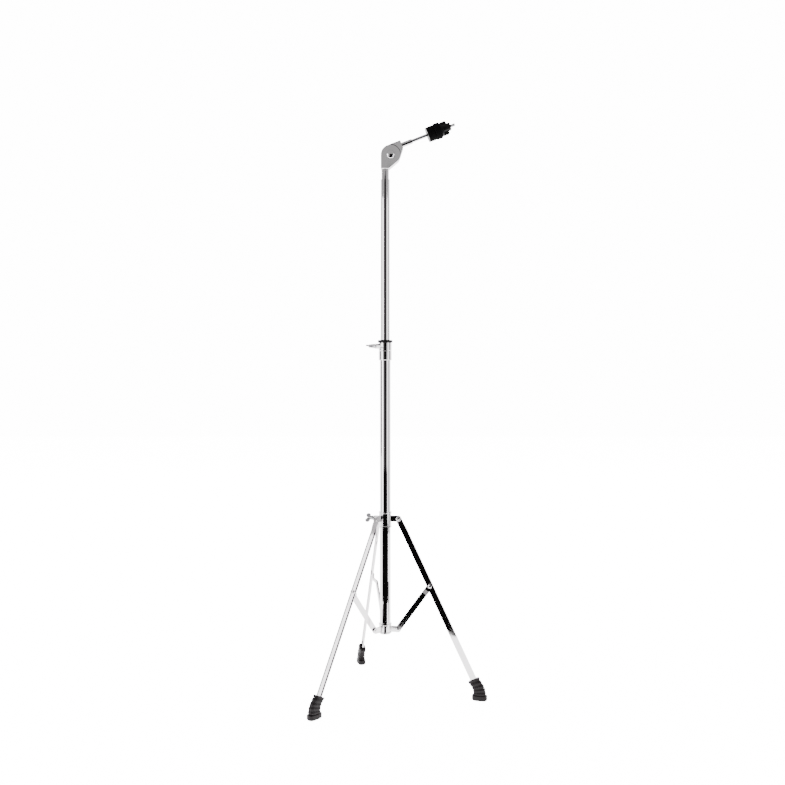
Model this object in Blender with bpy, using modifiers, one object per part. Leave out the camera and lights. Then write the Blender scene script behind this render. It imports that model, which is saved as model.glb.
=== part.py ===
"""Folding cymbal stand: a tripod base, a telescopic mast and a tilting cymbal rod.

All sizes are in metres, +Z is up and the feet stand on Z = 0. The origin is the middle of
the floor rectangle that the three feet cover. Each leg has its own radial frame: X points
away from the mast, Y points counter-clockwise seen from above, Z points up.
"""

import math

import bmesh
import bpy
from mathutils import Euler, Matrix, Vector

# Fits shared by all the pieces
FIT_GAP = 0.0003
SLIDE_GAP = 0.0004
ROUND_STEPS = 32
SMALL_STEPS = 20
SHARP_ANGLE = math.radians(35.0)

# Where the three legs point: degrees from -Y towards +X
LEG_AZIMUTHS = {"right": 75.4, "left": -44.6, "back": -164.6}

# Linkage of each leg, between pivot centres
PIVOT_RADIUS = 0.0275
LEG_SPREAD = math.radians(26.0)
LEG_REACH = 0.4030
LEG_TO_BRACE_PIVOT = 0.1520
BRACE_LENGTH = 0.1135

# Lower tube
LOWER_TUBE_RADIUS = 0.0111
LOWER_TUBE_WALL = 0.0012
LOWER_TUBE_LENGTH = 0.5834
HUB_PIVOT_ABOVE_TUBE_END = 0.0083

# Plug in the bottom end of the lower tube
PLUG_LIP = 0.0015
PLUG_DEPTH = 0.0100

# The cast rings that carry the leg and brace lugs
RING_WALL = 0.0013
RING_RIM = 0.0007
RING_RIM_HEIGHT = 0.0020
RING_CHAMFER = 0.0008
HUB_HEIGHT = 0.0189
COLLAR_HEIGHT = 0.0317
COLLAR_PIVOT_BELOW_TOP = 0.0137
LUG_THICKNESS = 0.0030
LUG_HALF_HEIGHT = 0.0062

# Pressed sheet of the legs and braces
SHEET = 0.0014
LEG_WIDTH = 0.0126
LEG_DEPTH = 0.0032
LEG_STEP = 0.0017
LEG_TAB = 0.0140
LEG_RAMP = 0.0110
LEG_END_ABOVE_FLOOR = 0.0110
BRACE_WIDTH = 0.0114
BRACE_DEPTH = 0.0032
BRACE_LOW_TAB = 0.0095
BRACE_CHANNEL_START = 0.0006
BRACE_TOP_TAB = 0.0110
BRACE_TOP_RAMP = 0.0070
TAB_ARC_STEPS = 5

# Rivets
RIVET_RADIUS = 0.0020
RIVET_HEAD_RADIUS = 0.0042
RIVET_HEAD_HEIGHT = 0.0019
RIVET_TAIL_RADIUS = 0.0032
RIVET_TAIL_HEIGHT = 0.0008

# Rubber feet: half lengths are radial, half widths are tangential
FOOT_RADIUS_FROM_MAST = 0.1965
FOOT_SOLE_HALF_LENGTH = 0.0130
FOOT_SOLE_HALF_WIDTH = 0.0068
FOOT_BASE_HALF_LENGTH = 0.0155
FOOT_BASE_HALF_WIDTH = 0.0090
FOOT_BASE_HEIGHT = 0.0100
FOOT_SOLE_ROUND = 0.0022
FOOT_NECK_HALF_LENGTH = 0.0122
FOOT_NECK_HALF_WIDTH = 0.0074
FOOT_NECK_TAPER = 0.0014
FOOT_HEIGHT = 0.0410
FOOT_RIM_HEIGHT = 0.0045
FOOT_RIM_LIP = 0.0012
FOOT_RIBS = 4
FOOT_RIB_DEPTH = 0.0009
FOOT_RING_POINTS = 20
FOOT_SQUARENESS = 3.2

# Height clamp at the top of the lower tube
CLAMP_RADIUS = 0.0134
CLAMP_HEIGHT = 0.0362
CLAMP_SKIRT = 0.0193
CLAMP_GROOVE = 0.0005
CLAMP_EDGE = 0.0006
CLAMP_SCREW_AZIMUTH = -60.0
CLAMP_SCREW_ABOVE_TUBE = 0.0093
CLAMP_SCREW_TURN = 78.0
BUSH_FLANGE_RADIUS = 0.0155
BUSH_FLANGE_HEIGHT = 0.0054
BUSH_EDGE = 0.0010

# Wing screws of the clamp and of the leg collar
COLLAR_SCREW_AZIMUTH = -104.6
COLLAR_SCREW_TURN = 42.0
SCREW_RADIUS = 0.0030
SCREW_BOSS_RADIUS = 0.0052
SCREW_BOSS_REACH = 0.0235
WING_HUB_RADIUS = 0.0046
WING_HUB_START = 0.0255
WING_HUB_LENGTH = 0.0125
WING_SPAN = 0.0220
WING_THICKNESS = 0.0026
WING_LOBE_RADIUS = 0.0050

# Upper tube and its glide
MAST_SHOWN = 0.3312
UPPER_TUBE_WALL = 0.0011
UPPER_TUBE_LENGTH = 0.4970
GLIDE_HEIGHT = 0.0120
GLIDE_SPIGOT = 0.0150

# Tilter: two like castings that meet face to face
TILT_ABOVE_TUBE = 0.0503
TILT_OFFSET = 0.0113
TILT_FROM_UPRIGHT = math.radians(68.7)
DISC_RADIUS = 0.0204
CASTING_HALF_DEPTH = 0.0085
CASTING_REACH = 0.0290
CASTING_END_WIDTH = 0.0175
CASTING_EDGE = 0.0007
DISC_CLEARANCE = 0.0006
SHANK_IN_TUBE = 0.0240
BOLT_RADIUS = 0.0040
BOLT_HEAD_RADIUS = 0.0087
BOLT_HEAD_HEIGHT = 0.0048
WASHER_RADIUS = 0.0078
WASHER_HEIGHT = 0.0012
TILT_NUT_HUB_RADIUS = 0.0068
TILT_NUT_HUB_LENGTH = 0.0100
TILT_NUT_SPAN = 0.0320
TILT_NUT_THICKNESS = 0.0034
TILT_NUT_LOBE_RADIUS = 0.0062
TILT_NUT_TURN = 28.0

# Cymbal rod and what sits on it, measured along the rod from the tilt axis
SOCKET_RADIUS = 0.0051
SOCKET_END = 0.0517
ROD_START = 0.0313
ROD_RADIUS = 0.0035
ROD_THREAD_RADIUS = 0.0030
ROD_END = 0.1465
ROD_CHAMFER = 0.0006
SEAT_START = 0.0858
SEAT_RADIUS = 0.0154
SEAT_HEIGHT = 0.0024
SLEEVE_WALL = 0.0014
LOWER_FELT_RADIUS = 0.0156
UPPER_FELT_RADIUS = 0.0168
FELT_HEIGHT = 0.0132
FELT_CROWN = 0.0012
NUT_SKIRT_RADIUS = 0.0140
NUT_SKIRT_HEIGHT = 0.0030
NUT_HUB_RADIUS = 0.0086
NUT_HEIGHT = 0.0210
NUT_WING_THICKNESS = 0.0060
NUT_WING_SPAN = 0.0288
NUT_WING_TOP = 0.0148
NUT_WING_CORNER = 0.0030

# Heights that follow from the linkage
BRACE_TILT = math.asin(LEG_TO_BRACE_PIVOT * math.sin(LEG_SPREAD) / BRACE_LENGTH)
LINKAGE_HEIGHT = LEG_TO_BRACE_PIVOT * math.cos(LEG_SPREAD) + BRACE_LENGTH * math.cos(BRACE_TILT)
COLLAR_PIVOT_Z = LEG_REACH * math.cos(LEG_SPREAD)
HUB_PIVOT_Z = COLLAR_PIVOT_Z - LINKAGE_HEIGHT
LOWER_TUBE_Z = HUB_PIVOT_Z - HUB_PIVOT_ABOVE_TUBE_END
LOWER_TUBE_TOP = LOWER_TUBE_Z + LOWER_TUBE_LENGTH
CLAMP_Z = LOWER_TUBE_TOP - CLAMP_SKIRT
CLAMP_TOP = CLAMP_Z + CLAMP_HEIGHT
BUSH_TOP = CLAMP_TOP + BUSH_FLANGE_HEIGHT
UPPER_TUBE_TOP = BUSH_TOP + MAST_SHOWN
UPPER_TUBE_Z = UPPER_TUBE_TOP - UPPER_TUBE_LENGTH
TILT_Z = UPPER_TUBE_TOP + TILT_ABOVE_TUBE

# Radii that follow from the fits
LOWER_BORE = LOWER_TUBE_RADIUS - LOWER_TUBE_WALL
RING_BORE = LOWER_TUBE_RADIUS + FIT_GAP
RING_RADIUS = RING_BORE + RING_WALL
UPPER_TUBE_RADIUS = LOWER_BORE - SLIDE_GAP
UPPER_BORE = UPPER_TUBE_RADIUS - UPPER_TUBE_WALL
SHANK_RADIUS = UPPER_BORE - FIT_GAP
SCREW_HOLE = SCREW_RADIUS + FIT_GAP
SCREW_TIP = LOWER_TUBE_RADIUS + FIT_GAP
RIVET_HOLE = RIVET_RADIUS + FIT_GAP
BOLT_HOLE = BOLT_RADIUS + FIT_GAP

# Places across the leg, from the radial plane: positive is counter-clockwise
LUG_SIDE = LUG_THICKNESS / 2
LEG_TAB_FACE = LUG_SIDE + FIT_GAP
LEG_WEB_FACE = LEG_TAB_FACE + LEG_STEP
LEG_MIDDLE = LEG_WEB_FACE + LEG_DEPTH / 2
BRACE_TOP_FACE = LEG_WEB_FACE - FIT_GAP
BRACE_LOW_FACE = -LUG_SIDE - FIT_GAP


def clear_scene():
    """Remove every object that the file starts with."""
    for obj in list(bpy.data.objects):
        bpy.data.objects.remove(obj, do_unlink=True)


def make_collection(name):
    """Add one collection to the scene."""
    collection = bpy.data.collections.new(name)
    bpy.context.scene.collection.children.link(collection)
    return collection


def make_material(name, colour, roughness, metallic):
    """A Principled BSDF material with the piece's own colour."""
    material = bpy.data.materials.new(name)
    material.use_nodes = True
    shader = material.node_tree.nodes["Principled BSDF"]
    shader.inputs["Base Color"].default_value = (*colour, 1.0)
    shader.inputs["Roughness"].default_value = roughness
    shader.inputs["Metallic"].default_value = metallic
    material.diffuse_color = (*colour, 1.0)
    return material


FINISHES = {
    "chrome": ((0.82, 0.82, 0.84), 0.08, 1.0),
    "zinc": ((0.66, 0.66, 0.68), 0.22, 1.0),
    "rubber": ((0.018, 0.017, 0.018), 0.62, 0.0),
    "plastic": ((0.012, 0.012, 0.013), 0.35, 0.0),
    "felt": ((0.010, 0.010, 0.011), 0.95, 0.0),
}


class Stand:
    """Holds the two collections and the empties that carry the moving pieces."""

    def __init__(self):
        self.parts = make_collection("cymbal_stand")
        self.tools = make_collection("cutters")

    def empty(self, name, matrix):
        """An empty whose origin is on a joint's axis."""
        holder = bpy.data.objects.new(name, None)
        holder.empty_display_size = 0.02
        holder.matrix_world = matrix
        self.parts.objects.link(holder)
        return holder

    def part(self, obj, finish, parent=None):
        """Keep an object as a finished piece with its own material."""
        colour, roughness, metallic = FINISHES[finish]
        material = make_material(obj.name + "_finish", colour, roughness, metallic)
        self.parts.objects.link(obj)
        settle(obj)
        obj.data.materials.clear()
        obj.data.materials.append(material)
        if parent is not None:
            obj.parent = parent
        return obj

    def tool(self, obj):
        """Keep an object as a hidden cutter or as a body that is joined to another."""
        self.tools.objects.link(obj)
        obj.hide_render = True
        obj.display_type = "WIRE"
        return obj


def settle(obj):
    """Turn the modifiers into the mesh, remove their cutters and shade the round faces."""
    helpers = [m.object for m in obj.modifiers if m.type == "BOOLEAN"]
    graph = bpy.context.evaluated_depsgraph_get()
    graph.update()
    mesh = bpy.data.meshes.new_from_object(obj.evaluated_get(graph))
    obj.modifiers.clear()
    obj.data = mesh
    mesh.name = obj.name
    mesh.shade_smooth()
    mesh.set_sharp_from_angle(angle=SHARP_ANGLE)
    for helper in helpers:
        bpy.data.objects.remove(helper, do_unlink=True)


def object_from_bmesh(name, shape):
    """Make an object from a bmesh, with its faces pointing out."""
    bmesh.ops.recalc_face_normals(shape, faces=shape.faces)
    mesh = bpy.data.meshes.new(name)
    shape.to_mesh(mesh)
    shape.free()
    return bpy.data.objects.new(name, mesh)


def turned(name, profile, closed=False, steps=ROUND_STEPS):
    """Turn a profile of (radius, height) points, listed down its outer side, about Z."""
    mesh = bpy.data.meshes.new(name)
    points = [(radius, 0.0, height) for radius, height in profile]
    edges = [(i, i + 1) for i in range(len(points) - 1)]
    if closed:
        edges.append((len(points) - 1, 0))
    mesh.from_pydata(points, edges, [])
    obj = bpy.data.objects.new(name, mesh)
    screw = obj.modifiers.new("turn", "SCREW")
    screw.axis = "Z"
    screw.steps = steps
    screw.render_steps = steps
    screw.use_merge_vertices = True
    screw.merge_threshold = 0.00001
    screw.use_smooth_shade = True
    return obj


def plate(name, outline, thickness, edge=0.0):
    """Extrude a flat outline; its X and Y become X and Z, and its thickness lies along Y."""
    curve = bpy.data.curves.new(name, "CURVE")
    curve.dimensions = "2D"
    curve.fill_mode = "BOTH"
    curve.extrude = thickness / 2
    spline = curve.splines.new("POLY")
    spline.points.add(len(outline) - 1)
    for point, (x, y) in zip(spline.points, outline):
        point.co = (x, y, 0.0, 1.0)
    spline.use_cyclic_u = True
    source = bpy.data.objects.new(name + "_outline", curve)
    bpy.context.scene.collection.objects.link(source)
    graph = bpy.context.evaluated_depsgraph_get()
    mesh = bpy.data.meshes.new_from_object(source.evaluated_get(graph))
    bpy.data.objects.remove(source, do_unlink=True)
    shape = bmesh.new()
    shape.from_mesh(mesh)
    bmesh.ops.remove_doubles(shape, verts=shape.verts, dist=0.000001)
    bmesh.ops.dissolve_limit(shape, angle_limit=0.01, verts=shape.verts, edges=shape.edges)
    bmesh.ops.rotate(shape, matrix=Matrix.Rotation(math.radians(90.0), 3, "X"), verts=shape.verts)
    obj = object_from_bmesh(name, shape)
    if edge > 0.0:
        bevel = obj.modifiers.new("edge", "BEVEL")
        bevel.width = edge
        bevel.segments = 1
        bevel.limit_method = "ANGLE"
        bevel.angle_limit = math.radians(60.0)
    return obj


def cylinder(name, radius, low, high, along="Z", steps=SMALL_STEPS):
    """A plain cylinder on the origin between two places along one axis."""
    shape = bmesh.new()
    bmesh.ops.create_cone(
        shape, cap_ends=True, segments=steps, radius1=radius, radius2=radius, depth=high - low
    )
    bmesh.ops.translate(shape, vec=(0.0, 0.0, (low + high) / 2), verts=shape.verts)
    if along == "Y":
        bmesh.ops.rotate(shape, matrix=Matrix.Rotation(math.radians(-90.0), 3, "X"), verts=shape.verts)
    if along == "X":
        bmesh.ops.rotate(shape, matrix=Matrix.Rotation(math.radians(90.0), 3, "Y"), verts=shape.verts)
    return object_from_bmesh(name, shape)


def box(name, low, high):
    """A box between two corners."""
    shape = bmesh.new()
    bmesh.ops.create_cube(shape, size=1.0)
    size = [b - a for a, b in zip(low, high)]
    middle = [(a + b) / 2 for a, b in zip(low, high)]
    bmesh.ops.scale(shape, vec=size, verts=shape.verts)
    bmesh.ops.translate(shape, vec=middle, verts=shape.verts)
    return object_from_bmesh(name, shape)


def loft(name, rings):
    """Skin closed rings of as many points each, and close both ends."""
    shape = bmesh.new()
    rows = [[shape.verts.new(point) for point in ring] for ring in rings]
    count = len(rings[0])
    for upper, lower in zip(rows, rows[1:]):
        for i in range(count):
            j = (i + 1) % count
            shape.faces.new((upper[i], upper[j], lower[j], lower[i]))
    shape.faces.new(rows[0][::-1])
    shape.faces.new(rows[-1])
    bmesh.ops.remove_doubles(shape, verts=shape.verts, dist=0.000001)
    return object_from_bmesh(name, shape)


def combine(obj, other, operation):
    """Join, or cut, an object with another one that then stays hidden."""
    modifier = obj.modifiers.new(operation.lower(), "BOOLEAN")
    modifier.operation = operation
    modifier.solver = "EXACT"
    modifier.object = other
    return obj


def arc(centre_x, centre_y, radius, start, end, steps):
    """Points along an arc, with its angles in degrees."""
    angles = [math.radians(start + (end - start) * i / steps) for i in range(steps + 1)]
    return [(centre_x + radius * math.cos(a), centre_y + radius * math.sin(a)) for a in angles]


def mast_place(z):
    """A point on the mast's axis."""
    return Vector((*mast_xy(), z))


def foot_corners():
    """The corners of the three soles' rectangles, seen from the mast."""
    corners = []
    for azimuth in LEG_AZIMUTHS.values():
        turn = math.radians(azimuth - 90.0)
        for radial in (-FOOT_BASE_HALF_LENGTH, FOOT_BASE_HALF_LENGTH):
            for side in (-FOOT_BASE_HALF_WIDTH, FOOT_BASE_HALF_WIDTH):
                x = FOOT_RADIUS_FROM_MAST + radial
                y = LEG_MIDDLE + side
                corners.append(
                    (x * math.cos(turn) - y * math.sin(turn), x * math.sin(turn) + y * math.cos(turn))
                )
    return corners


def mast_xy():
    """Where the mast stands, with the middle of the feet's rectangle at the origin."""
    xs = [x for x, _ in foot_corners()]
    ys = [y for _, y in foot_corners()]
    return -(min(xs) + max(xs)) / 2, -(min(ys) + max(ys)) / 2


def radial_frame(azimuth, z=0.0, radius=0.0):
    """The frame whose X points away from the mast at an azimuth."""
    turn = Matrix.Rotation(math.radians(azimuth - 90.0), 4, "Z")
    return Matrix.Translation(mast_place(z)) @ turn @ Matrix.Translation((radius, 0.0, 0.0))


def tab_end(radius, steps):
    """Half widths along a half-round end, as (distance back from the pivot, half width)."""
    angles = [math.radians(14.0 + 76.0 * i / steps) for i in range(steps + 1)]
    return [(radius * math.cos(a), radius * math.sin(a)) for a in angles]


def channel_section(z, half_width, face, depth, opens):
    """A channel's section: its web's outer face, and its flanges on the side that it opens to."""
    inner = face + opens * SHEET
    tip = face + opens * depth
    flange = min(SHEET, half_width * 0.4)
    points = [
        (-half_width, face),
        (half_width, face),
        (half_width, tip),
        (half_width - flange, tip),
        (half_width - flange, inner),
        (flange - half_width, inner),
        (flange - half_width, tip),
        (-half_width, tip),
    ]
    return [(x, y, z) for x, y in points]


def leg_rings():
    """Sections of a leg that hangs straight down from its pivot at the origin."""
    half = LEG_WIDTH / 2
    end = (COLLAR_PIVOT_Z - LEG_END_ABOVE_FLOOR) / math.cos(LEG_SPREAD)
    rings = []
    for back, half_width in tab_end(half, TAB_ARC_STEPS):
        rings.append(channel_section(back, half_width, LEG_TAB_FACE, SHEET, 1))
    rings.append(channel_section(-LEG_TAB, half, LEG_TAB_FACE, SHEET, 1))
    rings.append(channel_section(-LEG_TAB - LEG_RAMP, half, LEG_WEB_FACE, LEG_DEPTH, 1))
    rings.append(channel_section(-end, half, LEG_WEB_FACE, LEG_DEPTH, 1))
    return rings


def brace_rings():
    """Sections of a brace that stands straight up from its lower pivot at the origin."""
    half = BRACE_WIDTH / 2
    channel_end = BRACE_LENGTH - BRACE_TOP_TAB - BRACE_TOP_RAMP
    top_web = BRACE_TOP_FACE
    rings = []
    for back, half_width in tab_end(half, TAB_ARC_STEPS):
        rings.append(channel_section(-back, half_width, BRACE_LOW_FACE, SHEET, -1))
    rings.append(channel_section(BRACE_LOW_TAB, half, BRACE_LOW_FACE, SHEET, -1))
    start = BRACE_LOW_TAB + BRACE_CHANNEL_START
    rings.append(channel_section(start, half, BRACE_LOW_FACE, BRACE_DEPTH, -1))
    rings.append(channel_section(channel_end, half, BRACE_LOW_FACE, BRACE_DEPTH, -1))
    rings.append(channel_section(BRACE_LENGTH - BRACE_TOP_TAB, half, top_web, SHEET, -1))
    for back, half_width in reversed(tab_end(half, TAB_ARC_STEPS)):
        rings.append(channel_section(BRACE_LENGTH + back, half_width, top_web, SHEET, -1))
    return rings


def rivet_hole(stand, name, height=0.0):
    """A cutter for a rivet's hole, across the leg."""
    hole = cylinder(name, RIVET_HOLE, -0.02, 0.02, along="Y", steps=SMALL_STEPS)
    hole.location.z = height
    return stand.tool(hole)


def make_rivet(name, head_face, tail_face, with_tail=True):
    """A rivet across the leg: its head is on the clockwise side, its tail on the other."""
    head = RIVET_HEAD_HEIGHT
    low_rim = head * 0.35
    profile = [
        (0.0, head),
        (RIVET_HEAD_RADIUS * 0.55, head * 0.86),
        (RIVET_HEAD_RADIUS * 0.88, low_rim + head * 0.18),
        (RIVET_HEAD_RADIUS, low_rim * 0.5),
        (RIVET_HEAD_RADIUS, 0.0),
        (RIVET_RADIUS, 0.0),
    ]
    length = tail_face - head_face
    profile.append((RIVET_RADIUS, -length))
    if with_tail:
        profile.append((RIVET_TAIL_RADIUS, -length))
        profile.append((RIVET_TAIL_RADIUS * 0.8, -length - RIVET_TAIL_HEIGHT))
        profile.append((0.0, -length - RIVET_TAIL_HEIGHT))
    else:
        profile.append((0.0, -length))
    rivet = turned(name, profile, steps=SMALL_STEPS)
    rivet.rotation_euler = (math.radians(90.0), 0.0, 0.0)
    rivet.location.y = head_face
    return rivet


def foot_ring(height, radius, tilt, half_length, half_width):
    """One rounded ring of a foot, in the radial frame with its origin on the leg's pivot."""
    centre = Vector((radius - PIVOT_RADIUS, LEG_MIDDLE, height - COLLAR_PIVOT_Z))
    turn = Euler((0.0, -tilt, 0.0)).to_matrix()
    ring = []
    for i in range(FOOT_RING_POINTS):
        angle = 2 * math.pi * (i + 0.5) / FOOT_RING_POINTS
        power = 2.0 / FOOT_SQUARENESS
        x = half_length * math.copysign(abs(math.cos(angle)) ** power, math.cos(angle))
        y = half_width * math.copysign(abs(math.sin(angle)) ** power, math.sin(angle))
        ring.append(centre + turn @ Vector((x, y, 0.0)))
    return ring


def foot_rings():
    """Rings of a rubber foot, from its sole up to its rim round the leg."""
    base_r = FOOT_RADIUS_FROM_MAST
    rim_z = FOOT_HEIGHT - FOOT_RIM_HEIGHT * math.cos(LEG_SPREAD)
    rings = [
        foot_ring(0.0, base_r, 0.0, FOOT_SOLE_HALF_LENGTH, FOOT_SOLE_HALF_WIDTH),
        foot_ring(FOOT_SOLE_ROUND, base_r, 0.0, FOOT_BASE_HALF_LENGTH, FOOT_BASE_HALF_WIDTH),
        foot_ring(FOOT_BASE_HEIGHT, base_r, 0.0, FOOT_BASE_HALF_LENGTH, FOOT_BASE_HALF_WIDTH),
    ]
    steps = 2 * FOOT_RIBS
    for i in range(steps + 1):
        share = i / steps
        height = FOOT_BASE_HEIGHT + 0.001 + (rim_z - FOOT_BASE_HEIGHT - 0.001) * share
        on_leg = PIVOT_RADIUS + (COLLAR_PIVOT_Z - height) * math.tan(LEG_SPREAD)
        radius = base_r + (on_leg - base_r) * share
        rib = FOOT_RIB_DEPTH if i % 2 else 0.0
        length = FOOT_NECK_HALF_LENGTH - FOOT_NECK_TAPER * share + rib
        width = FOOT_NECK_HALF_WIDTH - FOOT_NECK_TAPER * share + rib
        rings.append(foot_ring(height, radius, LEG_SPREAD * share, length, width))
    length = FOOT_NECK_HALF_LENGTH - FOOT_NECK_TAPER + FOOT_RIM_LIP
    width = FOOT_NECK_HALF_WIDTH - FOOT_NECK_TAPER + FOOT_RIM_LIP
    for height in (rim_z + 0.0006, FOOT_HEIGHT):
        on_leg = PIVOT_RADIUS + (COLLAR_PIVOT_Z - height) * math.tan(LEG_SPREAD)
        rings.append(foot_ring(height, on_leg, LEG_SPREAD, length, width))
    return rings


def make_foot(stand, name):
    """A ribbed rubber foot with a slot for the end of its leg."""
    foot = loft(name, foot_rings())
    half = LEG_WIDTH / 2 + FIT_GAP
    slot = box(
        name + "_slot",
        (-half, LEG_WEB_FACE - FIT_GAP, -LEG_REACH + LEG_END_ABOVE_FLOOR / math.cos(LEG_SPREAD) - FIT_GAP),
        (half, LEG_WEB_FACE + LEG_DEPTH + FIT_GAP, -LEG_REACH * 0.8),
    )
    slot.rotation_euler = (0.0, -LEG_SPREAD, 0.0)
    return combine(foot, stand.tool(slot), "DIFFERENCE")


def make_leg(stand, name):
    """A leg: a pressed channel with a flat tab on its pivot."""
    leg = loft(name, leg_rings())
    return combine(leg, rivet_hole(stand, name + "_hole"), "DIFFERENCE")


def make_brace(stand, name):
    """A brace: a pressed channel with a flat tab at both ends."""
    brace = loft(name, brace_rings())
    combine(brace, rivet_hole(stand, name + "_low_hole"), "DIFFERENCE")
    return combine(brace, rivet_hole(stand, name + "_top_hole", BRACE_LENGTH), "DIFFERENCE")


def ring_profile(height, above):
    """A cast ring with a rim at each end, from its pivots' height up and down."""
    top = above
    low = above - height
    rim = RING_RADIUS + RING_RIM
    return [
        (RING_BORE, top),
        (rim, top),
        (rim, top - RING_RIM_HEIGHT),
        (RING_RADIUS, top - RING_RIM_HEIGHT - RING_CHAMFER),
        (RING_RADIUS, low + RING_RIM_HEIGHT + RING_CHAMFER),
        (rim, low + RING_RIM_HEIGHT),
        (rim, low),
        (RING_BORE, low),
    ]


def add_lugs(stand, ring, name):
    """Join the three lugs to a ring and drill them for the rivets."""
    start = RING_BORE + RING_WALL / 2
    outline = [(start, -LUG_HALF_HEIGHT)]
    outline += arc(PIVOT_RADIUS, 0.0, LUG_HALF_HEIGHT, -90.0, 90.0, 10)
    outline += [(start, LUG_HALF_HEIGHT)]
    for side, azimuth in LEG_AZIMUTHS.items():
        turn = math.radians(azimuth - 90.0)
        lug = plate(f"{name}_lug_{side}", outline, LUG_THICKNESS, edge=0.0005)
        lug.rotation_euler.z = turn
        combine(ring, stand.tool(lug), "UNION")
    for side, azimuth in LEG_AZIMUTHS.items():
        turn = math.radians(azimuth - 90.0)
        hole = cylinder(f"{name}_hole_{side}", RIVET_HOLE, -0.01, 0.01, along="Y")
        hole.location = (PIVOT_RADIUS * math.cos(turn), PIVOT_RADIUS * math.sin(turn), 0.0)
        hole.rotation_euler.z = turn
        combine(ring, stand.tool(hole), "DIFFERENCE")


def add_screw_boss(stand, obj, name, azimuth, height, start):
    """Join the boss of a wing screw to a ring and drill it."""
    turn = math.radians(azimuth - 90.0)
    boss = cylinder(name + "_boss", SCREW_BOSS_RADIUS, start, SCREW_BOSS_REACH, along="X", steps=24)
    hole = cylinder(name + "_thread", SCREW_HOLE, 0.0, SCREW_BOSS_REACH + 0.01, along="X")
    for tool, operation in ((boss, "UNION"), (hole, "DIFFERENCE")):
        tool.rotation_euler.z = turn
        tool.location.z = height
        combine(obj, stand.tool(tool), operation)


def lobed_outline(reach, lobe, half_hub, low, high):
    """One wing: it runs from the hub out to a round lobe, in a plane through the axis."""
    middle = (low + high) / 2
    centre_x = reach - lobe
    points = [(0.0, middle + half_hub)]
    points += arc(centre_x, high - lobe, lobe, 110.0, -70.0, 10)
    points += [(0.0, middle - half_hub)]
    return points


def add_wings(stand, obj, name, span, thickness, lobe, half_hub, low, high, turn):
    """Join two wings to a hub whose axis is Z."""
    outline = lobed_outline(span / 2, lobe, half_hub, low, high)
    for index in range(2):
        wing = plate(f"{name}_wing_{index}", outline[::-1], thickness, edge=thickness * 0.25)
        wing.rotation_euler.z = math.radians(turn + 180.0 * index)
        combine(obj, stand.tool(wing), "UNION")


def make_wing_screw(stand, name, tip, turn):
    """A wing screw along Z, whose origin is on the mast's axis."""
    start = WING_HUB_START
    end = start + WING_HUB_LENGTH
    profile = [
        (0.0, end),
        (WING_HUB_RADIUS * 0.72, end),
        (WING_HUB_RADIUS, start + 0.002),
        (WING_HUB_RADIUS, start),
        (SCREW_RADIUS, start),
        (SCREW_RADIUS, tip + 0.0006),
        (SCREW_RADIUS - 0.0006, tip),
        (0.0, tip),
    ]
    screw = turned(name, profile, steps=SMALL_STEPS)
    low = start + 0.0015
    high = end + 0.0040
    add_wings(stand, screw, name, WING_SPAN, WING_THICKNESS, WING_LOBE_RADIUS, 0.0034, low, high, turn)
    return screw


def teardrop(direction):
    """A tilter casting's outline round its disc; direction is -1 down and 1 up."""
    end_z = -CASTING_REACH
    corner = Vector((-DISC_RADIUS + CASTING_END_WIDTH, end_z))
    tangent = math.degrees(math.atan2(corner.y, corner.x) + math.acos(DISC_RADIUS / corner.length))
    points = [(-DISC_RADIUS, end_z), (corner.x, corner.y)]
    points += arc(0.0, 0.0, DISC_RADIUS, tangent, 180.0, 22)
    if direction > 0:
        points = [(x, -z) for x, z in points][::-1]
    return points


def make_casting(stand, name, direction):
    """Half of the tilter, with its disc's centre at the origin and its stem on the mast's axis."""
    depth = CASTING_HALF_DEPTH
    half_gap = FIT_GAP / 2
    casting = plate(name, teardrop(direction), 2 * depth, edge=CASTING_EDGE)
    low, high = (-half_gap, depth + 0.01) if direction < 0 else (-depth - 0.01, half_gap)
    disc = cylinder(name + "_other_disc", DISC_RADIUS + DISC_CLEARANCE, low, high, along="Y", steps=64)
    combine(casting, stand.tool(disc), "DIFFERENCE")
    hole = cylinder(name + "_bolt_hole", BOLT_HOLE, -0.02, 0.02, along="Y")
    return combine(casting, stand.tool(hole), "DIFFERENCE")


def make_tilter_lower(stand, name):
    """The lower half of the tilter, with the stem that goes into the upper tube."""
    casting = make_casting(stand, name, -1)
    low = -TILT_ABOVE_TUBE - SHANK_IN_TUBE
    stem = cylinder(name + "_stem", SHANK_RADIUS, low, -CASTING_REACH + 0.002, steps=ROUND_STEPS)
    stem.location.x = -TILT_OFFSET
    return combine(casting, stand.tool(stem), "UNION")


def make_tilter_upper(stand, name):
    """The upper half of the tilter, with the socket of the cymbal rod."""
    casting = make_casting(stand, name, 1)
    socket = cylinder(name + "_socket", SOCKET_RADIUS, CASTING_REACH - 0.002, SOCKET_END, steps=24)
    socket.location.x = -TILT_OFFSET
    combine(casting, stand.tool(socket), "UNION")
    bore_low = ROD_START - FIT_GAP
    bore = cylinder(name + "_bore", ROD_RADIUS + FIT_GAP, bore_low, SOCKET_END + 0.01, steps=24)
    bore.location.x = -TILT_OFFSET
    return combine(casting, stand.tool(bore), "DIFFERENCE")


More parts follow.
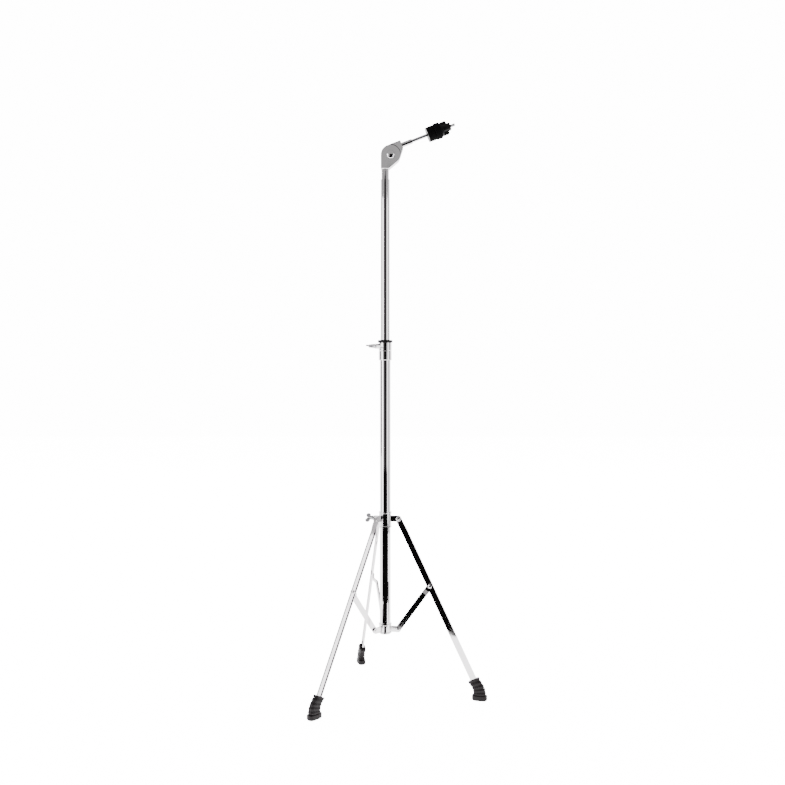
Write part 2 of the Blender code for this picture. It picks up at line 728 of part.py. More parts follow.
def make_tilter_bolt(name):
    """The bolt through the tilter, with its domed head in front."""
    face = CASTING_HALF_DEPTH + FIT_GAP
    length = 2 * CASTING_HALF_DEPTH + 3 * FIT_GAP + WASHER_HEIGHT + TILT_NUT_HUB_LENGTH + 0.0010
    head = BOLT_HEAD_HEIGHT
    profile = [(0.0, head)]
    for angle in (20.0, 40.0, 60.0, 78.0):
        a = math.radians(angle)
        profile.append((BOLT_HEAD_RADIUS * math.sin(a), 0.001 + (head - 0.001) * math.cos(a)))
    profile += [
        (BOLT_HEAD_RADIUS, 0.0008),
        (BOLT_HEAD_RADIUS, 0.0),
        (BOLT_RADIUS, 0.0),
        (BOLT_RADIUS, -length + 0.0006),
        (BOLT_RADIUS - 0.0006, -length),
        (0.0, -length),
    ]
    bolt = turned(name, profile, steps=24)
    bolt.rotation_euler = (math.radians(90.0), 0.0, 0.0)
    bolt.location.y = -face
    return bolt


def make_tilter_nut(stand, name):
    """The wing nut behind the tilter."""
    hub = TILT_NUT_HUB_RADIUS
    length = TILT_NUT_HUB_LENGTH
    bore = BOLT_HOLE
    profile = [(bore, length), (hub * 0.75, length), (hub, 0.0025), (hub, 0.0), (bore, 0.0)]
    nut = turned(name, profile, closed=True, steps=24)
    lobe = TILT_NUT_LOBE_RADIUS
    add_wings(
        stand, nut, name, TILT_NUT_SPAN, TILT_NUT_THICKNESS, lobe, 0.0036, 0.0012, length + 0.006, 0.0
    )
    clear = cylinder(name + "_bore", bore, -0.01, 0.03)
    combine(nut, stand.tool(clear), "DIFFERENCE")
    return nut


def make_tilter_washer(name):
    """The washer under the wing nut."""
    height = WASHER_HEIGHT
    profile = [(BOLT_HOLE, height), (WASHER_RADIUS, height), (WASHER_RADIUS, 0.0), (BOLT_HOLE, 0.0)]
    return turned(name, profile, closed=True, steps=24)


def rod_items_heights():
    """Heights along the rod of the seat, the two felts and the nut."""
    seat_top = SEAT_START + SEAT_HEIGHT
    lower_felt = seat_top + FIT_GAP
    upper_felt = lower_felt + FELT_HEIGHT + FIT_GAP
    nut = upper_felt + FELT_HEIGHT + FIT_GAP
    return lower_felt, upper_felt, nut


def make_rod(name):
    """The cymbal rod: it steps down to its threaded end at the seat."""
    shoulder = SEAT_START - FIT_GAP
    profile = [
        (0.0, ROD_END),
        (ROD_THREAD_RADIUS - ROD_CHAMFER, ROD_END),
        (ROD_THREAD_RADIUS, ROD_END - ROD_CHAMFER),
        (ROD_THREAD_RADIUS, shoulder),
        (ROD_RADIUS, shoulder),
        (ROD_RADIUS, ROD_START),
        (0.0, ROD_START),
    ]
    return turned(name, profile, steps=24)


def make_ring_on_rod(name, radius, bore, low, high, edge):
    """A washer or sleeve on the rod, with its outer edges cut back."""
    profile = [
        (bore, high),
        (radius - edge, high),
        (radius, high - edge),
        (radius, low + edge),
        (radius - edge, low),
        (bore, low),
    ]
    return turned(name, profile, closed=True)


def make_felt(name, radius, low):
    """A felt washer, slightly crowned all round."""
    bore = ROD_THREAD_RADIUS + 2 * FIT_GAP + SLEEVE_WALL
    high = low + FELT_HEIGHT
    profile = [(bore, high)]
    for share in (0.0, 0.12, 0.35, 0.65, 0.88, 1.0):
        crown = FELT_CROWN * (2 * share - 1) ** 4
        profile.append((radius - crown, high - FELT_HEIGHT * share))
    profile.append((bore, low))
    return turned(name, profile, closed=True)


def make_cymbal_nut(stand, name):
    """The moulded wing nut that holds the cymbal down."""
    bore = ROD_THREAD_RADIUS + FIT_GAP
    profile = [
        (bore, NUT_HEIGHT),
        (NUT_HUB_RADIUS * 0.86, NUT_HEIGHT),
        (NUT_HUB_RADIUS, NUT_HEIGHT - 0.0015),
        (NUT_HUB_RADIUS, NUT_SKIRT_HEIGHT + 0.002),
        (NUT_SKIRT_RADIUS, NUT_SKIRT_HEIGHT),
        (NUT_SKIRT_RADIUS, 0.0),
        (bore, 0.0),
    ]
    nut = turned(name, profile, closed=True)
    half = NUT_WING_SPAN / 2
    corner = NUT_WING_CORNER
    low = NUT_SKIRT_HEIGHT * 0.5
    outline = [(-half, low), (half, low)]
    outline += arc(half - corner, NUT_WING_TOP - corner, corner, 0.0, 90.0, 4)
    outline += arc(corner - half, NUT_WING_TOP - corner, corner, 90.0, 180.0, 4)
    wings = plate(name + "_wings", outline, NUT_WING_THICKNESS, edge=0.0008)
    combine(nut, stand.tool(wings), "UNION")
    clear = cylinder(name + "_bore", bore, -0.01, 0.05)
    combine(nut, stand.tool(clear), "DIFFERENCE")
    return nut


def tube(name, radius, wall, low, high):
    """A straight tube on the mast's axis."""
    bore = radius - wall
    profile = [(bore, high), (radius, high), (radius, low), (bore, low)]
    return turned(name, profile, closed=True)


def build_base(stand):
    """The lower tube with its plug, its brace hub and the height clamp."""
    axis = stand.empty("base_axis", Matrix.Translation(mast_place(0.0)))
    stand.part(
        tube("lower_tube", LOWER_TUBE_RADIUS, LOWER_TUBE_WALL, LOWER_TUBE_Z, LOWER_TUBE_TOP), "chrome", axis
    )

    lip_top = LOWER_TUBE_Z - FIT_GAP
    plug_radius = LOWER_BORE - FIT_GAP
    plug = turned(
        "tube_end_plug",
        [
            (0.0, LOWER_TUBE_Z + PLUG_DEPTH),
            (plug_radius, LOWER_TUBE_Z + PLUG_DEPTH),
            (plug_radius, lip_top),
            (LOWER_TUBE_RADIUS, lip_top),
            (LOWER_TUBE_RADIUS, lip_top - PLUG_LIP),
            (0.0, lip_top - PLUG_LIP),
        ],
    )
    stand.part(plug, "plastic", axis)

    hub = turned("brace_hub", ring_profile(HUB_HEIGHT, HUB_HEIGHT - HUB_PIVOT_ABOVE_TUBE_END), closed=True)
    add_lugs(stand, hub, "brace_hub")
    stand.part(hub, "chrome", axis)
    hub.location.z = HUB_PIVOT_Z

    stand.part(make_clamp(stand), "chrome", axis)
    stand.part(make_bush(), "plastic", axis)
    return axis


def make_clamp(stand):
    """The height clamp: a sleeve over the tube's end, with the boss of its wing screw."""
    seam = LOWER_TUBE_TOP
    profile = [
        (RING_BORE, CLAMP_TOP),
        (CLAMP_RADIUS - CLAMP_EDGE, CLAMP_TOP),
        (CLAMP_RADIUS, CLAMP_TOP - CLAMP_EDGE),
        (CLAMP_RADIUS, seam + 2 * CLAMP_GROOVE),
        (CLAMP_RADIUS - CLAMP_GROOVE, seam),
        (CLAMP_RADIUS, seam - 2 * CLAMP_GROOVE),
        (CLAMP_RADIUS, CLAMP_Z + CLAMP_EDGE),
        (CLAMP_RADIUS - CLAMP_EDGE, CLAMP_Z),
        (RING_BORE, CLAMP_Z),
    ]
    clamp = turned("height_clamp", profile, closed=True)
    height = LOWER_TUBE_TOP + CLAMP_SCREW_ABOVE_TUBE
    start = (RING_BORE + CLAMP_RADIUS) / 2
    add_screw_boss(stand, clamp, "height_clamp", CLAMP_SCREW_AZIMUTH, height, start)
    return clamp


def make_bush():
    """The nylon bush between the clamp and the upper tube, with its flange on top."""
    bore = UPPER_TUBE_RADIUS + FIT_GAP
    outer = RING_BORE - FIT_GAP
    flange_low = CLAMP_TOP + FIT_GAP
    profile = [
        (bore, BUSH_TOP),
        (BUSH_FLANGE_RADIUS - BUSH_EDGE, BUSH_TOP),
        (BUSH_FLANGE_RADIUS, BUSH_TOP - BUSH_EDGE),
        (BUSH_FLANGE_RADIUS, flange_low + BUSH_EDGE / 2),
        (BUSH_FLANGE_RADIUS - BUSH_EDGE, flange_low),
        (outer, flange_low),
        (outer, LOWER_TUBE_TOP + FIT_GAP),
        (bore, LOWER_TUBE_TOP + FIT_GAP),
    ]
    return turned("clamp_bush", profile, closed=True)


def build_wing_screw(stand, name, azimuth, height, turn):
    """Place a wing screw that points away from the mast at an azimuth."""
    frame = radial_frame(azimuth, height) @ Matrix.Rotation(math.radians(90.0), 4, "Y")
    holder = stand.empty(name + "_axis", frame)
    stand.part(make_wing_screw(stand, name, SCREW_TIP, turn), "zinc", holder)


def build_leg_collar(stand):
    """The sliding collar that carries the legs."""
    axis = stand.empty("leg_collar_axis", Matrix.Translation(mast_place(COLLAR_PIVOT_Z)))
    collar = turned("leg_collar", ring_profile(COLLAR_HEIGHT, COLLAR_PIVOT_BELOW_TOP), closed=True)
    add_lugs(stand, collar, "leg_collar")
    add_screw_boss(stand, collar, "leg_collar", COLLAR_SCREW_AZIMUTH, 0.0, RING_BORE + RING_WALL / 2)
    stand.part(collar, "chrome", axis)


def build_leg(stand, side, azimuth):
    """One leg with its foot, its brace and their three rivets."""
    upper = radial_frame(azimuth, COLLAR_PIVOT_Z, PIVOT_RADIUS)
    lower = radial_frame(azimuth, HUB_PIVOT_Z, PIVOT_RADIUS)
    lug_pin = stand.empty(f"leg_pin_{side}", upper)
    hub_pin = stand.empty(f"brace_pin_{side}", lower)
    leg_axis = stand.empty(f"leg_axis_{side}", upper @ Matrix.Rotation(-LEG_SPREAD, 4, "Y"))
    brace_axis = stand.empty(f"brace_axis_{side}", lower @ Matrix.Rotation(BRACE_TILT, 4, "Y"))

    stand.part(make_leg(stand, f"leg_{side}"), "chrome", leg_axis)
    foot = stand.part(make_foot(stand, f"foot_{side}"), "rubber", leg_axis)
    foot.rotation_euler = (0.0, LEG_SPREAD, 0.0)
    stand.part(make_brace(stand, f"brace_{side}"), "chrome", brace_axis)

    leg_tail = LEG_TAB_FACE + SHEET + FIT_GAP
    stand.part(make_rivet(f"leg_rivet_{side}", -LUG_SIDE - FIT_GAP, leg_tail), "chrome", lug_pin)
    low_head = BRACE_LOW_FACE - SHEET - FIT_GAP
    stand.part(make_rivet(f"hub_rivet_{side}", low_head, LUG_SIDE + FIT_GAP), "chrome", hub_pin)
    top_head = BRACE_TOP_FACE - SHEET - FIT_GAP
    top_rivet = make_rivet(f"brace_rivet_{side}", top_head, BRACE_TOP_FACE, with_tail=False)
    stand.part(top_rivet, "chrome", brace_axis)
    top_rivet.location.z = BRACE_LENGTH


def build_mast(stand):
    """The upper tube with its glide and the lower half of the tilter."""
    glide_axis = stand.empty("glide_axis", Matrix.Translation(mast_place(UPPER_TUBE_Z)))
    glide_radius = LOWER_BORE - FIT_GAP
    spigot = UPPER_BORE - FIT_GAP
    glide = turned(
        "glide_plug",
        [
            (0.0, GLIDE_SPIGOT),
            (spigot, GLIDE_SPIGOT),
            (spigot, -FIT_GAP),
            (glide_radius, -FIT_GAP),
            (glide_radius, -GLIDE_HEIGHT),
            (0.0, -GLIDE_HEIGHT),
        ],
    )
    stand.part(glide, "plastic", glide_axis)

    mast_axis = stand.empty("mast_axis", Matrix.Translation(mast_place(0.0)))
    upper = tube("upper_tube", UPPER_TUBE_RADIUS, UPPER_TUBE_WALL, UPPER_TUBE_Z, UPPER_TUBE_TOP)
    stand.part(upper, "chrome", mast_axis)

    pivot = Matrix.Translation(mast_place(TILT_Z)) @ Matrix.Translation((TILT_OFFSET, 0.0, 0.0))
    tilter_axis = stand.empty("tilter_axis", pivot)
    stand.part(make_tilter_lower(stand, "tilter_lower"), "chrome", tilter_axis)
    stand.part(make_tilter_bolt("tilter_bolt"), "chrome", tilter_axis)
    return pivot


def build_tilter_nut(stand, pivot):
    """The washer and the wing nut behind the tilter."""
    back = CASTING_HALF_DEPTH + FIT_GAP
    along_y = Matrix.Rotation(math.radians(-90.0), 4, "X")
    washer_frame = pivot @ Matrix.Translation((0.0, back, 0.0)) @ along_y
    washer_axis = stand.empty("tilter_washer_axis", washer_frame)
    stand.part(make_tilter_washer("tilter_washer"), "zinc", washer_axis)
    nut_place = Matrix.Translation((0.0, back + WASHER_HEIGHT + FIT_GAP, 0.0))
    turn = Matrix.Rotation(math.radians(TILT_NUT_TURN), 4, "Z")
    nut_axis = stand.empty("tilter_nut_axis", pivot @ nut_place @ along_y @ turn)
    stand.part(make_tilter_nut(stand, "tilter_nut"), "zinc", nut_axis)


def build_arm(stand, pivot):
    """The upper half of the tilter and everything on the cymbal rod."""
    tilt = pivot @ Matrix.Rotation(TILT_FROM_UPRIGHT, 4, "Y")
    arm_axis = stand.empty("arm_axis", tilt)
    rod_axis = stand.empty("rod_axis", tilt @ Matrix.Translation((-TILT_OFFSET, 0.0, 0.0)))
    stand.part(make_tilter_upper(stand, "tilter_upper"), "chrome", arm_axis)
    stand.part(make_rod("cymbal_rod"), "chrome", rod_axis)

    lower_felt, upper_felt, nut_start = rod_items_heights()
    bore = ROD_THREAD_RADIUS + FIT_GAP
    seat = make_ring_on_rod("seat_washer", SEAT_RADIUS, bore, SEAT_START, SEAT_START + SEAT_HEIGHT, 0.0004)
    stand.part(seat, "plastic", rod_axis)
    sleeve_high = nut_start - FIT_GAP
    sleeve = make_ring_on_rod("cymbal_sleeve", bore + SLEEVE_WALL, bore, lower_felt, sleeve_high, 0.0002)
    stand.part(sleeve, "plastic", rod_axis)
    stand.part(make_felt("lower_felt", LOWER_FELT_RADIUS, lower_felt), "felt", rod_axis)
    stand.part(make_felt("upper_felt", UPPER_FELT_RADIUS, upper_felt), "felt", rod_axis)

    nut_place = Matrix.Translation((-TILT_OFFSET, 0.0, nut_start))
    nut_axis = stand.empty("cymbal_nut_axis", tilt @ nut_place)
    stand.part(make_cymbal_nut(stand, "cymbal_nut"), "plastic", nut_axis)


def build_stand():
    """Build every piece of the stand."""
    clear_scene()
    stand = Stand()
    build_base(stand)
    build_leg_collar(stand)
    for side, azimuth in LEG_AZIMUTHS.items():
        build_leg(stand, side, azimuth)
    build_wing_screw(stand, "collar_screw", COLLAR_SCREW_AZIMUTH, COLLAR_PIVOT_Z, COLLAR_SCREW_TURN)
    clamp_screw_z = LOWER_TUBE_TOP + CLAMP_SCREW_ABOVE_TUBE
    build_wing_screw(stand, "clamp_screw", CLAMP_SCREW_AZIMUTH, clamp_screw_z, CLAMP_SCREW_TURN)
    pivot = build_mast(stand)
    build_tilter_nut(stand, pivot)
    build_arm(stand, pivot)


build_stand()
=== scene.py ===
"""Looks of the folding cymbal stand: materials, felts, rivet tails, studio light and camera."""

import math

import bmesh
import bpy
from mathutils import Matrix, Vector, noise


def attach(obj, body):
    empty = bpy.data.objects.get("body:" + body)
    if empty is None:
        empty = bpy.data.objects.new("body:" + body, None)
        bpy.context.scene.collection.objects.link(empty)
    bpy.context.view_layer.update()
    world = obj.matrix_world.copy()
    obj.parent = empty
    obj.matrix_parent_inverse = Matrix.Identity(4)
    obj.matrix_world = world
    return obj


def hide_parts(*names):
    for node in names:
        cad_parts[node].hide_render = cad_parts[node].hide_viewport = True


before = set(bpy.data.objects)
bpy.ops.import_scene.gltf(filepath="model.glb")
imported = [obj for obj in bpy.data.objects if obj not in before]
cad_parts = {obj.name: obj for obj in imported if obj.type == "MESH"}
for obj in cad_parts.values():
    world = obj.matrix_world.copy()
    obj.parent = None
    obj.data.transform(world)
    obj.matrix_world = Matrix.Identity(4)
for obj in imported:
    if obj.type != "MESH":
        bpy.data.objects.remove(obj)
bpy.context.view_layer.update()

# Places in the row frame, in metres
MAST_X = -0.028538
MAST_Y = -0.022287
COLLAR_PIVOT_Z = 0.362214
PIVOT_RADIUS = 0.0275
LEG_SPREAD = math.radians(26.0)
LEG_TO_BRACE_PIVOT = 0.1520
LEG_AZIMUTHS = {"right": 75.4, "left": -44.6, "back": -164.6}
TILT_Z = 1.112615
TILT_OFFSET = 0.0113
ROD_LEAN = math.radians(68.7)

# Thread on the cymbal rod; the wave pattern repeats each 2 pi / 20 at a scale of one
ROD_THREAD_START = 0.1330
THREAD_RUN_IN = 0.001
THREAD_PITCH = 0.0010
WAVE_FACTOR = 20

# Felts: lower end, upper end and radius, measured along the rod from the tilt axis;
# the lumps are sunk by a share of the fuzz, so that few rise above the solid felt
LOWER_FELT = (0.0885, 0.1017, 0.0156)
UPPER_FELT = (0.1020, 0.1152, 0.0168)
FELT_BORE = 0.0050
FELT_ROUND = 0.0022
FELT_FUZZ = 0.00022
FELT_LUMPS = ((330.0, 0.6), (1100.0, 0.4))
FELT_SINK = 0.6
FELT_SEGMENTS = 128
FELT_ROUND_STEPS = 8
FELT_SIDE_STEPS = 8
FELT_FACE_STEPS = 6

# Rivet tails on the open side of each leg
TAIL_START = 0.0046
TAIL_HEIGHT = 0.0034
TAIL_RADIUS = 0.0034
TAIL_STRAIGHT_SHARE = 0.45
TAIL_DOME_SHARE = 1.0 - TAIL_STRAIGHT_SHARE
TAIL_SEGMENTS = 32
TAIL_DOME_STEPS = 8

# How much darker the smudges on the chrome are, as a share of its tint
SMUDGE_SHADE = 0.93

# Depth of the surface bumps, in metres
PEEL_DEPTH = 0.00004
DRAWN_LINE_DEPTH = 0.00001
SHEET_WAVE_DEPTH = 0.00010
SHEET_GRAIN_DEPTH = 0.00001
ZINC_SKIN_DEPTH = 0.00004
THREAD_DEPTH = 0.0005
RUBBER_SKIN_DEPTH = 0.00012
NYLON_SKIN_DEPTH = 0.00006
FELT_TUFT_DEPTH = 0.0005
FELT_FIBRE_DEPTH = 0.0003

# Studio: how bright the surroundings are as light, in the chrome and to look at
WORLD_LIGHT = 0.8
WORLD_IN_CHROME = 0.55
WORLD_SEEN = 15.0

# The pale sweep under the stand, and the dark ground in front of its edge
FLOOR_GLOW = 3.2
FLOOR_SEEN = 15.0
FLOOR_HALF_WIDTH = 6.0
FLOOR_EDGE = -0.45
FLOOR_BACK = 9.0
GROUND_HALF_WIDTH = 4.0
GROUND_FRONT = -4.0
GROUND_LEVEL = -0.002

# Upright cards that the camera does not see: bearing, distance, width, height and glow
CARDS = {
    "camera_card": (6.0, 2.3, 1.9, 1.65, 0.006),
    "right_card": (92.0, 1.9, 1.0, 1.6, 0.9),
    "back_card": (180.0, 2.6, 9.0, 3.0, 4.5),
}

# Soft lights: bearing and power of each, and the place and size they share
LIGHTS = {"left_box": (-58.0, 24.0), "right_box": (52.0, 12.0)}
LIGHT_DISTANCE = 2.2
LIGHT_HEIGHT = 0.75
LIGHT_WIDTH = 0.9
LIGHT_TALLNESS = 1.5

# Camera
CAMERA_DISTANCE = 1.790
CAMERA_HEIGHT = 0.637
CAMERA_ASIDE = 0.0151
CAMERA_PITCH = math.radians(0.457)
FOCAL_LENGTH = 39.65
SENSOR_WIDTH = 36.0


class Graph:
    """A small helper that adds nodes to one material and joins them."""

    def __init__(self, name, **values):
        self.material = bpy.data.materials.new(name)
        self.material.use_nodes = True
        self.nodes = self.material.node_tree.nodes
        self.links = self.material.node_tree.links
        self.shader = self.nodes["Principled BSDF"]
        for key, value in values.items():
            self.shader.inputs[key.replace("_", " ")].default_value = value

    def add(self, kind, **values):
        """Add a node and set its unlinked inputs by name."""
        node = self.nodes.new(kind)
        for key, value in values.items():
            node.inputs[key.replace("_", " ")].default_value = value
        return node

    def join(self, source, output, target, name):
        """Link one output to one input."""
        self.links.new(source.outputs[output], target.inputs[name])

    def place(self, scale=(1.0, 1.0, 1.0), turn=(0.0, 0.0, 0.0), shift=(0.0, 0.0, 0.0)):
        """Object coordinates, moved, turned and scaled."""
        source = self.add("ShaderNodeTexCoord")
        mapping = self.add("ShaderNodeMapping", Location=shift, Rotation=turn, Scale=scale)
        self.join(source, "Object", mapping, "Vector")
        return mapping

    def noise(self, mapping, scale, detail, rough=0.5):
        """Noise on a mapping."""
        node = self.add("ShaderNodeTexNoise", Scale=scale, Detail=detail, Roughness=rough)
        self.join(mapping, "Vector", node, "Vector")
        return node

    def span(self, source, output, low, high, to_low, to_high):
        """Map a value from one span to another."""
        node = self.add("ShaderNodeMapRange")
        for key, value in zip(("From Min", "From Max", "To Min", "To Max"), (low, high, to_low, to_high)):
            node.inputs[key].default_value = value
        self.join(source, output, node, "Value")
        return node

    def colours(self, source, first, second):
        """The base colour, blended between two colours by a noise."""
        node = self.nodes.new("ShaderNodeMix")
        node.data_type = "RGBA"
        node.inputs["A"].default_value = (*first, 1.0)
        node.inputs["B"].default_value = (*second, 1.0)
        self.join(source, "Fac", node, "Factor")
        self.join(node, "Result", self.shader, "Base Color")

    def roughness(self, source, low, high, smooth, rough):
        """Roughness that follows a noise, from smooth at the low value to rough at the high one."""
        dull = self.span(source, "Fac", low, high, smooth, rough)
        self.join(dull, "Result", self.shader, "Roughness")

    def bump(self, source, output, distance, strength, before=None):
        """Bump from a value, on top of an earlier bump if there is one."""
        node = self.add("ShaderNodeBump", Strength=strength, Distance=distance)
        self.join(source, output, node, "Height")
        if before is not None:
            self.join(before, "Normal", node, "Normal")
        self.join(node, "Normal", self.shader, "Normal")
        return node


def chrome(name, streaks, tint=(0.80, 0.775, 0.785), polish=0.035):
    """Chrome plate: faint drawing lines, soft smudges and a slight orange peel."""
    g = Graph(name, Metallic=1.0)
    lines = g.noise(g.place(streaks), 1.0, 4.0, 0.6)
    smudge = g.noise(g.place(), 38.0, 3.0)
    g.colours(smudge, tint, tuple(channel * SMUDGE_SHADE for channel in tint))
    g.roughness(smudge, 0.45, 0.75, polish, polish + 0.05)
    peel = g.noise(g.place(), 160.0, 1.0)
    first = g.bump(peel, "Fac", PEEL_DEPTH, 0.15)
    g.bump(lines, "Fac", DRAWN_LINE_DEPTH, 0.20, first)
    return g.material


def pressed_chrome(name):
    """Chrome on pressed sheet, a little wavier than on the tubes."""
    g = Graph(name, Metallic=1.0)
    smudge = g.noise(g.place(), 55.0, 4.0, 0.6)
    g.colours(smudge, (0.77, 0.745, 0.755), (0.71, 0.69, 0.70))
    g.roughness(smudge, 0.4, 0.8, 0.04, 0.10)
    wave = g.noise(g.place((1.0, 1.0, 0.5)), 70.0, 2.0)
    first = g.bump(wave, "Fac", SHEET_WAVE_DEPTH, 0.30)
    grain = g.noise(g.place(), 900.0, 2.0)
    g.bump(grain, "Fac", SHEET_GRAIN_DEPTH, 0.10, first)
    return g.material


def zinc(name):
    """Bright zinc plate on the wing screws, with a soft cast skin."""
    g = Graph(name, Metallic=1.0)
    patch = g.noise(g.place(), 180.0, 4.0, 0.6)
    g.colours(patch, (0.66, 0.65, 0.66), (0.52, 0.51, 0.53))
    g.roughness(patch, 0.35, 0.75, 0.14, 0.30)
    skin = g.noise(g.place(), 700.0, 3.0)
    g.bump(skin, "Fac", ZINC_SKIN_DEPTH, 0.35)
    return g.material


def threaded_chrome(name):
    """The cymbal rod: plain plate, with a thread towards its tip."""
    g = Graph(name, Metallic=1.0)
    turn = Matrix.Rotation(-ROD_LEAN, 3, "Y")
    foot = turn @ Vector((MAST_X + TILT_OFFSET, MAST_Y, TILT_Z))
    along = g.place(turn=(0.0, -ROD_LEAN, 0.0), shift=-foot)
    smudge = g.noise(along, 90.0, 3.0)
    g.colours(smudge, (0.80, 0.79, 0.80), (0.72, 0.71, 0.72))
    g.roughness(smudge, 0.4, 0.8, 0.06, 0.16)
    wave = g.add("ShaderNodeTexWave", Scale=2 * math.pi / (WAVE_FACTOR * THREAD_PITCH))
    wave.bands_direction = "Z"
    g.join(along, "Vector", wave, "Vector")
    split = g.add("ShaderNodeSeparateXYZ")
    g.join(along, "Vector", split, "Vector")
    mask = g.span(split, "Z", ROD_THREAD_START, ROD_THREAD_START + THREAD_RUN_IN, 0.0, 1.0)
    cut = g.nodes.new("ShaderNodeMath")
    cut.operation = "MULTIPLY"
    g.join(wave, "Fac", cut, 0)
    g.join(mask, "Result", cut, 1)
    g.bump(cut, "Value", THREAD_DEPTH, 0.9)
    return g.material


def rubber(name):
    """Moulded rubber: matt, faintly brown in the light, with a fine skin."""
    g = Graph(name, Specular_IOR_Level=0.16)
    cloud = g.noise(g.place(), 95.0, 5.0, 0.6)
    g.colours(cloud, (0.0040, 0.0028, 0.0034), (0.0095, 0.0070, 0.0082))
    g.roughness(cloud, 0.3, 0.7, 0.40, 0.56)
    skin = g.noise(g.place(), 1400.0, 3.0, 0.6)
    g.bump(skin, "Fac", RUBBER_SKIN_DEPTH, 0.5)
    return g.material


def nylon(name, smooth, rough):
    """Black moulded nylon with a fine orange peel."""
    g = Graph(name, Specular_IOR_Level=0.22)
    cloud = g.noise(g.place(), 140.0, 4.0)
    g.colours(cloud, (0.0025, 0.0025, 0.0028), (0.0060, 0.0060, 0.0064))
    g.roughness(cloud, 0.35, 0.7, smooth, rough)
    skin = g.noise(g.place(), 1100.0, 2.0)
    g.bump(skin, "Fac", NYLON_SKIN_DEPTH, 0.4)
    return g.material


def felt(name):
    """Pressed black felt: matted fibres with almost no sheen."""
    g = Graph(name, Roughness=0.95, Sheen_Weight=0.02, Sheen_Roughness=0.5, Specular_IOR_Level=0.04)
    fibres = g.noise(g.place(), 2200.0, 6.0, 0.75)
    g.colours(fibres, (0.0008, 0.0008, 0.0010), (0.0060, 0.0060, 0.0064))
    tufts = g.noise(g.place(), 620.0, 4.0, 0.7)
    first = g.bump(tufts, "Fac", FELT_TUFT_DEPTH, 0.7)
    g.bump(fibres, "Fac", FELT_FIBRE_DEPTH, 0.8, first)
    return g.material


def link(name, data):
    """Add an object with this data to the scene."""
    obj = bpy.data.objects.new(name, data)
    bpy.context.scene.collection.objects.link(obj)
    return obj


def mesh_object(name, shape, material):
    """Link a bmesh to the scene as a smooth object."""
    bmesh.ops.recalc_face_normals(shape, faces=shape.faces)
    mesh = bpy.data.meshes.new(name)
    shape.to_mesh(mesh)
    shape.free()
    mesh.shade_smooth()
    mesh.materials.append(material)
    return link(name, mesh)


def band(shape, row, after):
    """A band of faces between two rings of vertices."""
    count = len(row)
    for i in range(count):
        j = (i + 1) % count
        shape.faces.new((row[i], row[j], after[j], after[i]))


def rod_frame():
    """The frame whose Z runs along the cymbal rod from the tilt axis."""
    place = Matrix.Translation((MAST_X + TILT_OFFSET, MAST_Y, TILT_Z))
    return place @ Matrix.Rotation(ROD_LEAN, 4, "Y") @ Matrix.Translation((-TILT_OFFSET, 0.0, 0.0))


def felt_corner(radius, height, start):
    """A quarter turn round a rim of the felt, as (radius, height) points."""
    points = []
    for i in range(FELT_ROUND_STEPS + 1):
        angle = math.radians(start - 90.0 * i / FELT_ROUND_STEPS)
        lift = math.sin(angle) * FELT_ROUND
        points.append((radius + math.cos(angle) * FELT_ROUND, height + lift))
    return points


def felt_profile(low, high, radius):
    """The outline of a soft felt washer, as (radius, height) points all round its section."""
    face_rim = radius - FELT_ROUND
    face_width = face_rim - FELT_BORE
    side_top = high - FELT_ROUND
    side_height = high - low - 2 * FELT_ROUND
    points = felt_corner(face_rim, side_top, 90.0)
    for i in range(1, FELT_SIDE_STEPS):
        points.append((radius, side_top - side_height * i / FELT_SIDE_STEPS))
    points += felt_corner(face_rim, low + FELT_ROUND, 0.0)
    for i in range(1, FELT_FACE_STEPS + 1):
        points.append((face_rim - face_width * i / FELT_FACE_STEPS, low))
    for i in range(FELT_FACE_STEPS):
        points.append((FELT_BORE + face_width * i / FELT_FACE_STEPS, high))
    return points


def make_felt(name, sizes, material):
    """A felt washer whose surface is matted, not smooth."""
    matrix = rod_frame()
    shape = bmesh.new()
    rows = []
    for r, z in felt_profile(*sizes):
        row = []
        for i in range(FELT_SEGMENTS):
            angle = 2 * math.pi * i / FELT_SEGMENTS
            outward = Vector((math.cos(angle), math.sin(angle), 0.0))
            point = outward * r + Vector((0.0, 0.0, z))
            lump = sum(noise.noise(point * scale) * share for scale, share in FELT_LUMPS)
            pull = FELT_FUZZ * (lump - FELT_SINK)
            row.append(shape.verts.new(matrix @ (point + outward * pull)))
        rows.append(row)
    for row, after in zip(rows, rows[1:] + rows[:1]):
        band(shape, row, after)
    obj = mesh_object(name, shape, material)
    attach(obj, "arm")
    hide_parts(name)


